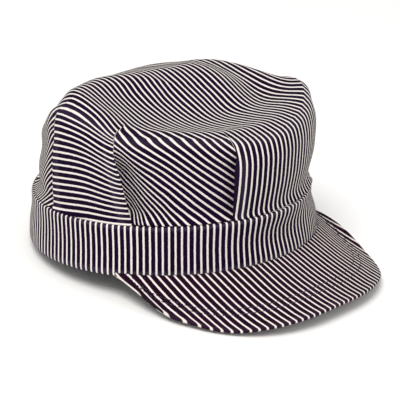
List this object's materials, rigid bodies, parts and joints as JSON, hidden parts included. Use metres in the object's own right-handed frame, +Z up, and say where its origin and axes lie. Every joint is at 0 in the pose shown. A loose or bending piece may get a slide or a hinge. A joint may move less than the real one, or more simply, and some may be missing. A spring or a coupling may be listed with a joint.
{
  "type": "pleated work cap",
  "caption": "Striped cloth work cap with a pleated one-piece crown, a round headband and a curved, stiffened visor.",
  "frame": {"origin": "middle of the bounding box's bottom face", "axes": "+Z up, the visor points towards -Y, the wearer's right is -X"},
  "size_m": [0.1914, 0.2344, 0.1104],
  "materials": {
    "crown_cloth": "striped cotton twill, dark indigo with narrow off-white stripes",
    "band_cloth": "striped cotton twill, stripes upright",
    "visor_cloth": "striped cotton twill over a stiff board, stripes front to back"
  },
  "bodies": {
    "root": {"crown": "crown_cloth", "band": "band_cloth", "visor_upper": "visor_cloth", "visor_underside": "visor_cloth"}
  },
  "joints": []
}
